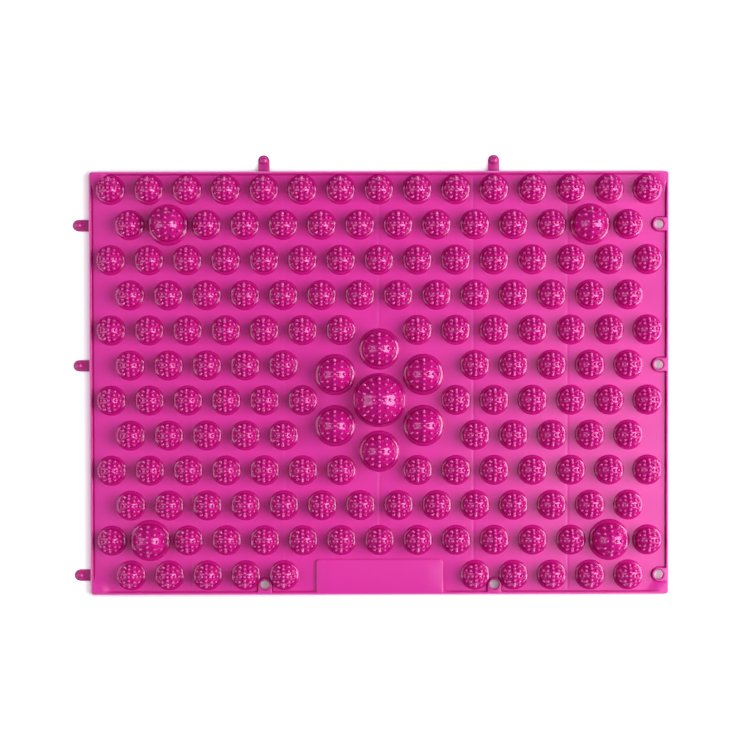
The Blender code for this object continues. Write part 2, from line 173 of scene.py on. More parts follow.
# Where a painted layer of colour starts and where it is full: by the distance out past the plate's edge and
# the height over the floor for the painted highlight on the rim's outer edge, by that distance alone for the
# painted shade on the tabs, and by the share of a nub's height for the painted highlight on the nub tips
EDGE_HIGHLIGHT_BAND = {"From Min": -1.0 * MM, "From Max": -0.4 * MM}
EDGE_HIGHLIGHT_HEIGHTS = {"From Min": RIM_TOP - 1.1 * MM, "From Max": RIM_TOP - 0.6 * MM}
TAB_SHADE_BAND = {"From Min": 0.0, "From Max": 0.3 * MM}
TIP_HIGHLIGHT_BAND = {"From Min": 0.4, "From Max": 0.9}

# How much the white paper is lifted close to the mat and far from it
NEAR_LIFT = {"From Min": 1 * MM, "From Max": 7 * MM, "To Min": 0.12, "To Max": 0.6}
FAR_LIFT = {"From Min": 300 * MM, "From Max": 1200 * MM, "To Min": 0.0, "To Max": 0.4}

# A Mix node's sockets for colours
MIX_UNDER = 6
MIX_OVER = 7
MIX_RESULT = 2

# The stage, in metres. Each side has a wide softbox, two narrow panes, which give the two bars of light on a
# head, and a small pane high up, which gives the line across a head's middle and the glare beside the right
# rim. A lamp has its width, its depth, its share of the right and of the left side's power, and its place on
# the right side.
FLOOR_HALF = 3.0
FLOOR_GAP = 0.05 * MM
LAMP_COLOUR = (0.97, 0.95, 1.0)
LAMPS = (
    ("softbox", 1.4, 1.5, (0.865, 0.88), (1.5, -0.05, 0.85)),
    ("back_pane", 0.14, 0.9, (0.041, 0.051), (0.75, 0.36, 1.05)),
    ("front_pane", 0.14, 0.9, (0.041, 0.051), (0.75, -0.36, 1.05)),
    ("high_pane", 0.14, 0.75, (0.053, 0.018), (0.62, -0.1, 1.25)),
)


def linear(code):
    """Turn an sRGB hex colour into a linear one with full alpha."""
    parts = [int(code[i:i + 2], 16) / 255 for i in (1, 3, 5)]
    return tuple(p / 12.92 if p <= 0.04045 else ((p + 0.055) / 1.055) ** 2.4 for p in parts) + (1.0,)


def amount(name, description, default, unit="NONE"):
    """Return a property for an amount."""
    return FloatProperty(name=name, description=description, default=default, unit=unit, precision=5)


def length(name, description, default):
    """Return a length property whose default is given in millimetres."""
    return amount(name, description, default * MM, "LENGTH")


def colour(name, description, code):
    """Return a colour property whose default is an sRGB hex colour."""
    return FloatVectorProperty(
        name=name, description=description, default=linear(code), size=4, subtype="COLOR", min=0.0, max=1.0
    )


class FootMatPlate(bpy.types.PropertyGroup):
    """Sizes of the plate."""

    corner_radius: length("Corner Radius", "Radius of the plate's corners", 3.0)
    rim_width: length("Rim Width", "Width of the rim round the plate", 1.8)
    rim_round: length("Rim Round", "Rounding of the rim's inner edge", 0.4)
    edge_round: length("Edge Round", "Rounding of the rim's outer edge", 0.9)
    groove_width: length("Groove Width", "Width of the groove along the foot of the rim", 0.65)
    groove_depth: length("Groove Depth", "Depth of the groove along the foot of the rim", 1.1)
    groove_end: length("Groove End", "Distance from the pad at which the groove is at its full depth", 2.5)
    ramp_start: length("Ramp Start", "Distance from a corner at which the skin starts to fall", 7.0)
    ramp_end: length("Ramp End", "Distance from a corner at which the skin is level", 15.0)
    rib_pitch: length("Rib Pitch", "Spacing of the ribs under the plate", 63.4)
    rib_width: length("Rib Width", "Thickness of a rib", 2.0)
    sink_depth: length("Sink Depth", "Depth of the moulding's sink mark over a rib", 0.13)
    sink_width: length("Sink Width", "Half width of a sink mark", 1.2)
    pad_length: length("Pad Length", "Length of the bare label pad", 85.2)
    pad_depth: length("Pad Depth", "Depth of the bare label pad", 24.0)
    pad_corner: length("Pad Corner", "Radius of the pad's back corners", 2.5)
    pad_wall: length("Pad Wall", "Thickness of the pad's walls", 2.0)
    lug_width: length("Lug Width", "Width of a connector lug", 9.0)
    root_radius: length("Root Radius", "Fillet where the pad or a lug meets the rim", 0.5)
    socket_radius: length("Socket Radius", "Radius of the socket in a lug", 3.05)
    socket_inset: length("Socket Inset", "Distance of a socket from the plate's edge", 6.7)
    lead_width: length("Lead Width", "Width of the funnel at the top of a socket", 0.6)
    lead_depth: length("Lead Depth", "Depth of the funnel at the top of a socket", 1.5)
    pocket_width: length("Pocket Width", "Width of the pocket under a lug", 8.3)
    tab_width: length("Tab Width", "Width of a connector tab", 7.7)
    peg_radius: length("Peg Radius", "Radius of the peg on a tab", 2.7)


class FootMatHeads(bpy.types.PropertyGroup):
    """Sizes of the massage heads."""

    head_pitch: length("Head Pitch", "Spacing of the small heads in a row", 25.8)
    row_pitch: length("Row Pitch", "Spacing of the rows", 23.6)
    back_inset: length("Back Inset", "Distance of the back row from the plate's edge", 12.1)
    head_gap: length("Head Gap", "Least gap between two heads", 1.0)
    small_flange: length("Small Flange", "Radius of a small head's flange", 10.2)
    small_flange_height: length("Small Flange Height", "Height of a small head's flange", 1.7)
    small_dome: length("Small Dome", "Radius of a small head's dome", 8.0)
    small_height: length("Small Height", "Height of a small head over the skin", 11.0)
    small_collar: length("Small Collar", "Radius of the collar under a small head", 4.6)
    large_flange: length("Large Flange", "Radius of a large head's flange", 13.95)
    large_flange_height: length("Large Flange Height", "Height of a large head's flange", 2.2)
    large_dome: length("Large Dome", "Radius of a large head's dome", 11.2)
    large_collar: length("Large Collar", "Radius of the collar under a large head", 7.0)
    centre_flange: length("Centre Flange", "Radius of the centre head's flange", 18.2)
    centre_flange_height: length("Centre Flange Height", "Height of the centre head's flange", 2.5)
    centre_dome: length("Centre Dome", "Radius of the centre head's dome", 16.3)
    centre_collar: length("Centre Collar", "Radius of the collar under the centre head", 8.0)
    nub_radius: length("Nub Radius", "Radius of a nub", 1.0)
    nub_height: length("Nub Height", "Height of a nub over its dome", 1.5)


class FootMatFinish(bpy.types.PropertyGroup):
    """Colours of the mat."""

    plate: colour("Plate", "Satin plate", "#E030A2")
    plate_shade: colour("Plate Shade", "Slight darker drift in the plate", "#D62A98")
    # Painted shade: the tabs and their pegs get this deeper colour in place of the shade that the rim casts
    # on them.
    tab: colour("Tabs", "Tabs outside the rim, which look deeper in the photograph", "#BC2082")
    # Painted highlight: a pale line along the rim's rounded outer edge, where it catches the light.
    edge: colour("Edge", "Rounded outer edge of the rim, which is thin and looks pale", "#E898CC")
    head: colour("Heads", "Glossy heads", "#C61080")
    head_shade: colour("Head Shade", "Slight darker drift in the heads", "#B80C74")
    # Painted highlight: the paler tips of the nubs, where they catch the light.
    nub: colour("Nub Tips", "Tips of the nubs", "#EA4CAA")


class FootMatStage(bpy.types.PropertyGroup):
    """Floor, lamps and camera."""

    camera_height: length("Camera Height", "Height of the camera over the plate's skin", 1053.2)
    camera_x: length("Camera X", "Camera's place along the mat", -2.9)
    camera_y: length("Camera Y", "Camera's place across the mat, towards the back", -15.0)
    middle_y: length("Middle Y", "Place in the middle of the picture, towards the back", 5.7)
    lens: amount("Lens", "Focal length in millimetres", 75.0)
    tilt: amount("Tilt", "Lean of the camera", math.radians(1.05), "ROTATION")
    roll: amount("Roll", "Turn of the picture", math.radians(-0.13), "ROTATION")
    right_lamp: amount("Right Lamps", "Power of the right side's lamps in watts", 48.0, "POWER")
    left_lamp: amount("Left Lamps", "Power of the left side's lamps in watts", 16.0, "POWER")
    sky: amount("Sky", "Strength of the even light round the mat", 0.03)
    ceiling: amount("Ceiling", "Strength of the room seen in glossy surfaces", 0.07)


def rounded(corners, step=STRAIGHT_STEP):
    """Return the points round an outline of (x, y, radius) corners, anticlockwise.

    Each point comes with its outward normal, how far it may move inwards along it before the corner is
    sharp, and the way that the sharp corner then takes.
    """
    places = [Vector(corner[:2]) for corner in corners]
    path = []
    for index, corner in enumerate(places):
        along = (corner - places[index - 1]).normalized()
        onward = (places[(index + 1) % len(places)] - corner).normalized()
        turn = math.atan2(along.cross(onward), along.dot(onward))
        radius = math.copysign(corners[index][2], turn)
        side = Vector((-along.y, along.x))
        centre = corner - along * abs(radius) * math.tan(abs(turn) / 2) + side * radius
        steps = max(1, math.ceil(abs(turn) / ARC_ANGLE))
        limit = radius if turn > 0 else math.inf
        for number in range(steps + 1):
            normal = Matrix.Rotation(turn * number / steps, 2) @ -side
            mitre = (-side + Matrix.Rotation(turn, 2) @ -side) / (1 + math.cos(turn))
            path.append((centre + normal * radius, normal, limit, mitre))
    result = []
    for index, (point, normal, limit, mitre) in enumerate(path):
        before, before_normal = path[index - 1][:2]
        gap = (point - before).length
        if gap < WELD:
            continue
        if (normal - before_normal).length < WELD:
            pieces = math.ceil(gap / step)
            for number in range(1, pieces):
                result.append((before.lerp(point, number / pieces), normal, math.inf, normal))
        result.append((point, normal, limit, mitre))
    return result


def rectangle(left, right, front, back, radius, step=STRAIGHT_STEP):
    """Return the points round a rectangle with round corners."""
    corners = ((left, front), (right, front), (right, back), (left, back))
    return rounded([(x, y, radius) for x, y in corners], step)


def quarter(steps):
    """Return the angles of a quarter turn in even steps."""
    return [math.pi / 2 * step / steps for step in range(steps + 1)]


def bay(base, along, out, half_width, reach, tip_radius, root_radius):
    """Return the corners of a strip that stands out from a base point, with round tip corners."""
    sides = [Vector(base) - half_width * Vector(along), Vector(base) + half_width * Vector(along)]
    tips = [side + reach * Vector(out) for side in sides]
    order = ((sides[0], root_radius), (tips[0], tip_radius), (tips[1], tip_radius), (sides[1], root_radius))
    return [(place.x, place.y, radius) for place, radius in order]


def sweep(mesh, path, profile, height=None):
    """Sweep a profile of (outward offset, height) round an outline and return its rings of vertices."""
    rings = []
    for offset, level in profile:
        ring = []
        for point, normal, limit, mitre in path:
            along = max(offset, -limit)
            place = point + normal * along + mitre * (offset - along)
            z = height(place, level) if height else level
            ring.append(mesh.verts.new((place.x, place.y, z)))
        rings.append(ring)
    for upper, lower in zip(rings, rings[1:]):
        for index in range(len(upper)):
            after = (index + 1) % len(upper)
            mesh.faces.new((upper[index], upper[after], lower[after], lower[index]))
    return rings


def fill(mesh, loops, inner=()):
    """Fill a ring of vertices, less the rings within it, with triangles through the inner vertices."""
    vertices = [vertex for ring in loops for vertex in ring] + list(inner)
    outlines = []
    for ring in loops:
        first = sum(len(outline) for outline in outlines)
        outlines.append([first + index for index in range(len(ring))])
    # 1 keeps the triangles within the outlines; those within a hole lie in two of them.
    result = delaunay_2d_cdt([vertex.co.xy for vertex in vertices], [], outlines, 1, WELD * MM)
    for triangle, within in zip(result[2], result[5]):
        if len(within) == 1:
            mesh.faces.new([vertices[result[3][corner][0]] for corner in triangle])


def turned(mesh, profile, sides, centre=(0.0, 0.0)):
    """Turn a closed profile of (radius, height) points, from its top pole to its bottom one."""
    rings = []
    for radius, z in profile:
        if radius < WELD:
            rings.append([mesh.verts.new((centre[0], centre[1], z))])
            continue
        angles = [2 * math.pi * side / sides for side in range(sides)]
        rings.append([
            mesh.verts.new((centre[0] + radius * math.cos(angle), centre[1] + radius * math.sin(angle), z))
            for angle in angles
        ])
    for upper, lower in zip(rings, rings[1:]):
        for side in range(sides):
            after = (side + 1) % sides
            corners = [upper[side % len(upper)], lower[side % len(lower)]]
            corners += [lower[after % len(lower)], upper[after % len(upper)]]
            unique = list(dict.fromkeys(corners))
            mesh.faces.new(unique)


def finished(mesh, name, material=None, weld=WELD):
    """Make an object of a bmesh, with its faces pointing out and its curved faces smooth."""
    bmesh.ops.remove_doubles(mesh, verts=mesh.verts, dist=weld)
    bmesh.ops.recalc_face_normals(mesh, faces=mesh.faces)
    data = bpy.data.meshes.new(name)
    mesh.to_mesh(data)
    mesh.free()
    data.shade_smooth()
    data.set_sharp_from_angle(angle=SHARP_ANGLE)
    if material:
        data.materials.append(material)
    item = bpy.data.objects.new(name, data)
    bpy.context.scene.collection.objects.link(item)
    return item


def baked(item, name):
    """Replace an object by the plain mesh that its modifiers give."""
    bpy.context.view_layer.update()
    data = bpy.data.meshes.new_from_object(item.evaluated_get(bpy.context.evaluated_depsgraph_get()))
    bpy.data.objects.remove(item, do_unlink=True)
    data.name = name
    result = bpy.data.objects.new(name, data)
    bpy.context.scene.collection.objects.link(result)
    return result


def declared(item, slot, *nodes):
    """Fix a finished piece to the mat and hide the solids that it stands for."""
    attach(item, BODY)
    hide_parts(*nodes)


def add_node(tree, kind, inputs=None, **settings):
    """Add a node, with its settings, and give its inputs values or links from other nodes' outputs."""
    node = tree.nodes.new(kind)
    for key, value in settings.items():
        setattr(node, key, value)
    for key, value in (inputs or {}).items():
        if isinstance(value, bpy.types.NodeSocket):
            tree.links.new(value, node.inputs[key])
        else:
            node.inputs[key].default_value = value
    return node


def new_tree(name, inputs):
    """Start a geometry tree with named inputs and one geometry output."""
    tree = bpy.data.node_groups.new(name, "GeometryNodeTree")
    for label, kind in inputs:
        tree.interface.new_socket(name=label, in_out="INPUT", socket_type=kind)
    tree.interface.new_socket(name="Geometry", in_out="OUTPUT", socket_type="NodeSocketGeometry")
    return tree, add_node(tree, "NodeGroupInput").outputs


def finish_tree(tree, geometry, material):
    """End a geometry tree: real meshes with their material."""
    real = add_node(tree, "GeometryNodeRealizeInstances", {"Geometry": geometry})
    painted = add_node(tree, "GeometryNodeSetMaterial", {"Geometry": real.outputs[0], "Material": material})
    add_node(tree, "NodeGroupOutput", {"Geometry": painted.outputs[0]})
    return tree


def apply_tree(item, tree, values):
    """Give an object a geometry tree and set the tree's inputs by their names."""
    modifier = item.modifiers.new(tree.name, "NODES")
    modifier.node_group = tree
    for socket in tree.interface.items_tree:
        if socket.in_out == "INPUT" and socket.name in values:
            modifier[socket.identifier] = values[socket.name]


def nub_tree(ring_count):
    """Build the tree that sets rings of round nubs on a domed head, each square to the dome."""
    inputs = [("Head", "NodeSocketGeometry"), ("Nub", "NodeSocketObject")]
    inputs.append(("Material", "NodeSocketMaterial"))
    inputs += [(name, "NodeSocketFloat") for name in ("Dome Radius", "Dome Foot", "Dome Rise", "Nub Height")]
    for ring in range(1, ring_count + 1):
        inputs += [(f"Ring {ring} Radius", "NodeSocketFloat"), (f"Ring {ring} Nubs", "NodeSocketInt")]
    tree, given = new_tree(f"Nubs on a head in {ring_count} rings", inputs)

    first = add_node(tree, "GeometryNodeMeshLine", {"Count": 1})
    spread = add_node(tree, "GeometryNodeJoinGeometry", {"Geometry": first.outputs[0]})
    for ring in range(1, ring_count + 1):
        sizes = {"Vertices": given[f"Ring {ring} Nubs"], "Radius": given[f"Ring {ring} Radius"]}
        circle = add_node(tree, "GeometryNodeMeshCircle", sizes)
        tree.links.new(circle.outputs[0], spread.inputs[0])

    radius, foot, rise = given["Dome Radius"], given["Dome Foot"], given["Dome Rise"]
    place = add_node(tree, "GeometryNodeInputPosition").outputs[0]
    out = add_node(tree, "ShaderNodeVectorMath", {0: place}, operation="LENGTH").outputs["Value"]
    share = add_node(tree, "ShaderNodeMath", {0: out, 1: radius}, operation="DIVIDE").outputs[0]
    square = add_node(tree, "ShaderNodeMath", {0: share, 1: share}, operation="MULTIPLY").outputs[0]
    rest = add_node(tree, "ShaderNodeMath", {0: 1.0, 1: square}, operation="SUBTRACT").outputs[0]
    root = add_node(tree, "ShaderNodeMath", {0: rest}, operation="SQRT").outputs[0]
    lift = add_node(tree, "ShaderNodeMath", {0: root, 1: rise, 2: foot}, operation="MULTIPLY_ADD").outputs[0]
    up = add_node(tree, "ShaderNodeCombineXYZ", {"Z": lift}).outputs[0]
    raised = add_node(tree, "GeometryNodeSetPosition", {"Geometry": spread.outputs[0], "Offset": up})

    # An ellipsoid's normal is its place about the dome's middle divided by each half axis squared.
    middle = add_node(tree, "ShaderNodeCombineXYZ", {"Z": foot}).outputs[0]
    arm = add_node(tree, "ShaderNodeVectorMath", {0: place, 1: middle}, operation="SUBTRACT").outputs[0]
    axes = add_node(tree, "ShaderNodeCombineXYZ", {"X": radius, "Y": radius, "Z": rise}).outputs[0]
    once = add_node(tree, "ShaderNodeVectorMath", {0: arm, 1: axes}, operation="DIVIDE").outputs[0]
    normal = add_node(tree, "ShaderNodeVectorMath", {0: once, 1: axes}, operation="DIVIDE").outputs[0]
    square_on = add_node(tree, "FunctionNodeAlignRotationToVector", {"Vector": normal}, axis="Z").outputs[0]

    nub = add_node(tree, "GeometryNodeObjectInfo", {"Object": given["Nub"]}).outputs["Geometry"]
    level = add_node(tree, "ShaderNodeSeparateXYZ", {"Vector": place}).outputs["Z"]
    tall = given["Nub Height"]
    part = add_node(tree, "ShaderNodeMath", {0: level, 1: tall}, operation="DIVIDE").outputs[0]
    marked = add_node(
        tree, "GeometryNodeStoreNamedAttribute", {"Geometry": nub, "Name": "nub_level", "Value": part},
        data_type="FLOAT", domain="POINT",
    )
    nubs = add_node(
        tree, "GeometryNodeInstanceOnPoints",
        {"Points": raised.outputs[0], "Instance": marked.outputs[0], "Rotation": square_on},
    )
    whole = add_node(tree, "GeometryNodeJoinGeometry", {"Geometry": given["Head"]})
    tree.links.new(nubs.outputs[0], whole.inputs[0])
    return finish_tree(tree, whole.outputs[0], given["Material"])


def row_tree():
    """Build the tree that stands a head on each point of a row."""
    inputs = [("Places", "NodeSocketGeometry"), ("Head", "NodeSocketObject")]
    tree, given = new_tree("Heads in a row", inputs + [("Material", "NodeSocketMaterial")])
    head = add_node(tree, "GeometryNodeObjectInfo", {"Object": given["Head"]}).outputs["Geometry"]
    stood = add_node(tree, "GeometryNodeInstanceOnPoints", {"Points": given["Places"], "Instance": head})
    return finish_tree(tree, stood.outputs[0], given["Material"])


def new_material(name):
    """Start a material and return it with its tree, its shader and the piece's own coordinates."""
    material = bpy.data.materials.new(name)
    material.use_nodes = True
    tree = material.node_tree
    place = add_node(tree, "ShaderNodeTexCoord").outputs["Object"]
    return material, tree, tree.nodes["Principled BSDF"], place


def past_edge(tree, place):
    """Return how far a place lies outside the plate's edge; it is negative inside."""
    apart = add_node(tree, "ShaderNodeVectorMath", {0: place}, operation="ABSOLUTE").outputs[0]
    edge = (HALF_LENGTH, HALF_WIDTH, 0.0)
    past = add_node(tree, "ShaderNodeVectorMath", {0: apart, 1: edge}, operation="SUBTRACT").outputs[0]
    sides = add_node(tree, "ShaderNodeSeparateXYZ", {"Vector": past}).outputs
    return add_node(tree, "ShaderNodeMath", {0: sides["X"], 1: sides["Y"]}, operation="MAXIMUM").outputs[0]


def paint(tree, shader, base, layers):
    """Colour a surface: a base colour, and layers over it, each with the share that it covers."""
    colours = tuple(base)
    for share, layer in layers:
        inputs = {"Factor": share, MIX_UNDER: colours, MIX_OVER: tuple(layer)}
        colours = add_node(tree, "ShaderNodeMix", inputs, data_type="RGBA").outputs[MIX_RESULT]
    tree.links.new(colours, shader.inputs["Base Color"])


def texture(tree, shader, pattern, roughness, bump):
    """Let a pattern vary a surface's gloss and raise it a little."""
    gloss = add_node(tree, "ShaderNodeMapRange", {"Value": pattern, **roughness})
    tree.links.new(gloss.outputs[0], shader.inputs["Roughness"])
    raised = add_node(tree, "ShaderNodeBump", {"Height": pattern, **bump})
    tree.links.new(raised.outputs[0], shader.inputs["Normal"])


def satin_plate_material(finish):
    """Make the injection-moulded soft plastic of the plate.

    Its spark-eroded mould gives a fine even grain and a broad soft sheen.
    """
    material, tree, shader, place = new_material("moulded_satin_plastic")
    drift = add_node(tree, "ShaderNodeTexNoise", {"Vector": place, **PLATE_DRIFT}).outputs["Fac"]
    past = past_edge(tree, place)
    height = add_node(tree, "ShaderNodeSeparateXYZ", {"Vector": place}).outputs["Z"]
    # Painted highlight: a pale band on the rim's rounded outer top edge.
    outer = add_node(tree, "ShaderNodeMapRange", {"Value": past, **EDGE_HIGHLIGHT_BAND}).outputs[0]
    upper = add_node(tree, "ShaderNodeMapRange", {"Value": height, **EDGE_HIGHLIGHT_HEIGHTS}).outputs[0]
    rim = add_node(tree, "ShaderNodeMath", {0: outer, 1: upper}, operation="MULTIPLY").outputs[0]
    # Painted shade: everything past the plate's edge, the tabs and their pegs, is painted deeper, for the
    # rim's shade over them.
    tabs = add_node(tree, "ShaderNodeMapRange", {"Value": past, **TAB_SHADE_BAND}).outputs[0]
    layers = ((drift, finish.plate_shade), (rim, finish.edge), (tabs, finish.tab))
    paint(tree, shader, finish.plate, layers)
    # The real grain is about 0.1 mm; it is drawn at 0.5 mm so that it shows.
    grain = add_node(tree, "ShaderNodeTexNoise", {"Vector": place, **PLATE_GRAIN}).outputs["Fac"]
    texture(tree, shader, grain, PLATE_ROUGHNESS, PLATE_BUMP)
    shader.inputs["IOR"].default_value = 1.5
    shader.inputs["Specular IOR Level"].default_value = 0.65
    return material


def glossy_head_material(finish):
    """Make, or find, the soft glossy PVC of the heads.

    It is moulded against polished steel, so it is deep in colour, with bright sharp highlights.
    """
    made = bpy.data.materials.get("glossy_soft_pvc")
    if made:
        return made
    material, tree, shader, place = new_material("glossy_soft_pvc")
    drift = add_node(tree, "ShaderNodeTexNoise", {"Vector": place, **HEAD_DRIFT}).outputs["Fac"]
    # Painted highlight: the upper part of each nub is painted paler, for the light that its tip catches.
    level = add_node(tree, "ShaderNodeAttribute", attribute_name="nub_level", attribute_type="GEOMETRY")
    tip = add_node(tree, "ShaderNodeMapRange", {"Value": level.outputs["Fac"], **TIP_HIGHLIGHT_BAND}).outputs[0]
    paint(tree, shader, finish.head, ((drift, finish.head_shade), (tip, finish.nub)))
    # Polishing marks and handling vary the gloss over a few millimetres.
    wear = add_node(tree, "ShaderNodeTexNoise", {"Vector": place, **HEAD_WEAR}).outputs["Fac"]
    texture(tree, shader, wear, HEAD_ROUGHNESS, HEAD_BUMP)
    shader.inputs["IOR"].default_value = 1.53
    shader.inputs["Specular IOR Level"].default_value = 0.8
    shader.inputs["Specular Tint"].default_value = (1.0, 0.62, 0.9, 1.0)
    return material


def floor_material():
    """Make the seamless white studio paper: matt, and white where nothing shades it."""
    material, tree, shader, place = new_material("white_paper")
    shader.inputs["Base Color"].default_value = linear("#FDFDFD")
    shader.inputs["Roughness"].default_value = 0.9
    # Only the camera sees this lift. It is slight under the mat, so the shade there stays, and full far off,
    # where the lamps don't reach.
    past = past_edge(tree, place)
    near = add_node(tree, "ShaderNodeMapRange", {"Value": past, **NEAR_LIFT}).outputs[0]
    far = add_node(tree, "ShaderNodeMapRange", {"Value": past, **FAR_LIFT}).outputs[0]
    faded = add_node(tree, "ShaderNodeMath", {0: near, 1: far}, operation="ADD").outputs[0]
    seen = add_node(tree, "ShaderNodeLightPath").outputs["Is Camera Ray"]
    lift = add_node(tree, "ShaderNodeMath", {0: seen, 1: faded}, operation="MULTIPLY").outputs[0]
    shader.inputs["Emission Color"].default_value = (1.0, 1.0, 1.0, 1.0)
    tree.links.new(lift, shader.inputs["Emission Strength"])
    return material


def row_y(heads, row):
    """Return a row's Y, counted from the back edge."""
    return HALF_WIDTH - heads.back_inset - row * heads.row_pitch


def head_places():
    """Return each large head's node with its place, from the frame."""
    places = {}
    for node in [CENTRE_NODE] + RING_NODES + CORNER_NODES:
        low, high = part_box(node)
        places[node] = ((low + high) / 2, (high.x - low.x) / 2)
    return places


def row_places(heads, plate, row):
    """Return the places of a row's small heads: the grid, less what the large heads and the pad take."""
    y = row_y(heads, row)
    limit = HALF_LENGTH - plate.rim_width - heads.small_flange
    reach = int(limit / heads.head_pitch) + 1
    pad_side = plate.pad_length / 2 + heads.head_gap + heads.small_flange
    pad_back = plate.pad_depth - HALF_WIDTH + heads.head_gap + heads.small_flange
    places = []
    for step in range(-reach - 1, reach + 1):
        x = (step + 0.5 * (row % 2)) * heads.head_pitch
        apart = [
            math.dist((x, y), middle.xy) - radius - heads.small_flange
            for middle, radius in head_places().values()
        ]
        on_pad = abs(x) < pad_side and y < pad_back
        if abs(x) <= limit and min(apart) > heads.head_gap and not on_pad:
            places.append((x, y))
    return places


def lug_places(plate, heads):
    """Return the middle of each socket with the edge direction that it lies on."""
    x = HALF_LENGTH - plate.socket_inset
    y = plate.socket_inset - HALF_WIDTH
    right = [((x, row_y(heads, row)), (0, 1)) for row in reversed(CONNECTOR_ROWS)]
    front = [((step * heads.head_pitch, y), (1, 0)) for step in CONNECTOR_STEPS]
    return right, front


def tab_places(plate, heads):
    """Return the middle of each peg with the direction that its tab points in."""
    reach = -PLATE_LOW.x - plate.tab_width / 2
    y = PLATE_HIGH.y - plate.tab_width / 2
    left = [((-reach, row_y(heads, row)), (-1, 0)) for row in CONNECTOR_ROWS]
    back = [((step * heads.head_pitch, y), (0, 1)) for step in CONNECTOR_STEPS]
    return left + back


def rib_places(plate):
    """Return the X of each rib under the skin."""
    count = int((HALF_LENGTH - plate.rim_width) / plate.rib_pitch - 0.5)
    return [rib * plate.rib_pitch for rib in range(-count, count + 1)]


def skin_outline(plate, heads):
    """Return the outline of the plate's sunken skin, which runs round the pad and the lugs."""
    x = HALF_LENGTH - plate.rim_width
    y = HALF_WIDTH - plate.rim_width
    inner = plate.corner_radius - plate.rim_width
    half = plate.lug_width / 2
    right, front = lug_places(plate, heads)
    corners = [(-x, -y, inner)]
    bays = [(middle, half, middle[1] + half + y, half) for middle, _ in front]
    bays.insert(1, ((0.0, 0.0), plate.pad_length / 2, plate.pad_depth - plate.rim_width, plate.pad_corner))
    for middle, half_width, reach, tip in bays:
        corners += bay((middle[0], -y), (1, 0), (0, 1), half_width, reach, tip, plate.root_radius)
    corners.append((x, -y, inner))
    for middle, _ in right:
        corners += bay((x, middle[1]), (0, 1), (-1, 0), half, x - middle[0] + half, half, plate.root_radius)
    corners += [(x, y, inner), (-x, y, inner)]
    return rounded(corners)


def plate_block(plate, heads):
    """Make the plate's block: rim, pad and lugs above, sunken skin between them, and a flat underside."""
    def level(place, height):
        """Return a height near the rim.

        By a corner the skin climbs to the rim's top, and by the pad the groove ends.
        """
        if height < SKIN_TOP:
            past = max(abs(place.x) - plate.pad_length / 2, place.y + HALF_WIDTH - plate.pad_depth, 0.0)
            height = SKIN_TOP + (height - SKIN_TOP) * min(past / plate.groove_end, 1.0) ** 2
        corner = math.hypot(HALF_LENGTH - abs(place.x), HALF_WIDTH - abs(place.y))
        share = min(max((corner - plate.ramp_start) / (plate.ramp_end - plate.ramp_start), 0.0), 1.0)
        return RIM_TOP - (RIM_TOP - height) * share * share * (3 - 2 * share)

    mesh = bmesh.new()
    edge = rectangle(-HALF_LENGTH, HALF_LENGTH, -HALF_WIDTH, HALF_WIDTH, plate.corner_radius)
    outside = [
        (plate.edge_round * (math.sin(angle) - 1), RIM_TOP - plate.edge_round * (1 - math.cos(angle)))
        for angle in quarter(EDGE_STEPS)
    ]
    outside += [(0.0, BOTTOM_ROUND), (-BOTTOM_ROUND, 0.0)]
    outer = sweep(mesh, edge, outside)

    inside = [
        (plate.rim_round * (1 - math.sin(angle)), RIM_TOP - plate.rim_round * (1 - math.cos(angle)))
        for angle in quarter(EDGE_STEPS)
    ]
    wide = plate.groove_width
    low = SKIN_TOP - plate.groove_depth
    inside += [(0.0, SKIN_TOP), (-0.05 * wide, low + GROOVE_FOOT), (-0.2 * wide, low), (-0.7 * wide, low)]
    inside.append((-wide, low + 0.4 * plate.groove_depth))
    inside += [(-wide - past, SKIN_TOP - drop) for past, drop in GROOVE_LIP]
    wall = sweep(mesh, skin_outline(plate, heads), inside, level)
    fill(mesh, [outer[0], wall[0]])
    fill(mesh, [outer[-1]])

    right, front = lug_places(plate, heads)
    sockets = [Vector(middle) for middle, _ in right + front]

    def on_skin(x, y):
        """Say whether a place lies on the sunken skin, clear of its walls."""
        side = plate.groove_width + SKIN_CLEARANCE
        margin = plate.rim_width + side
        pad = abs(x) < plate.pad_length / 2 + side and y < plate.pad_depth - HALF_WIDTH + side
        lug = any((Vector((x, y)) - socket).length < plate.lug_width + SKIN_CLEARANCE for socket in sockets)
        return abs(x) < HALF_LENGTH - margin and abs(y) < HALF_WIDTH - margin and not pad and not lug

    inner = []
    ramp = plate.ramp_end - plate.ramp_start
    for side_x in (-1, 1):
        for side_y in (-1, 1):
            for ring in range(RAMP_RINGS + 1):
                radius = plate.ramp_start + ring * ramp / RAMP_RINGS
                for angle in quarter(RAMP_STEPS)[1:-1]:
                    x = side_x * (HALF_LENGTH - radius * math.cos(angle))
                    y = side_y * (HALF_WIDTH - radius * math.sin(angle))
                    if on_skin(x, y):
                        inner.append((x, y, level(Vector((x, y)), SKIN_TOP)))
    for rib in rib_places(plate):
        for step in range(-SINK_STEPS, SINK_STEPS + 1):
            # Across its rib, a sink mark has the section of a bell curve.
            across = step / 2
            x = rib + across * plate.sink_width
            dip = plate.sink_depth * math.exp(-2 * across * across)
            for number in range(int(2 * HALF_WIDTH / STRAIGHT_STEP)):
                y = number * STRAIGHT_STEP - HALF_WIDTH
                if on_skin(x, y):
                    inner.append((x, y, SKIN_TOP - dip))
    fill(mesh, [wall[-1]], [mesh.verts.new(place) for place in inner])
    return finished(mesh, "plate_block")


def prism(mesh, path, profile):
    """Make a solid whose wall runs round an outline with a profile of (outward offset, height)."""
    rings = sweep(mesh, path, profile)
    fill(mesh, [rings[0]])
    fill(mesh, [rings[-1]])


def tooled(name, mesh, operation, target):
    """Finish a tool of one or more solids, which may overlap, and let it cut or join the plate."""
    tool = finished(mesh, name)
    step = target.modifiers.new(name, "BOOLEAN")
    step.operation = operation
    step.solver = "EXACT"
    step.use_self = True
    step.object = tool
    return tool


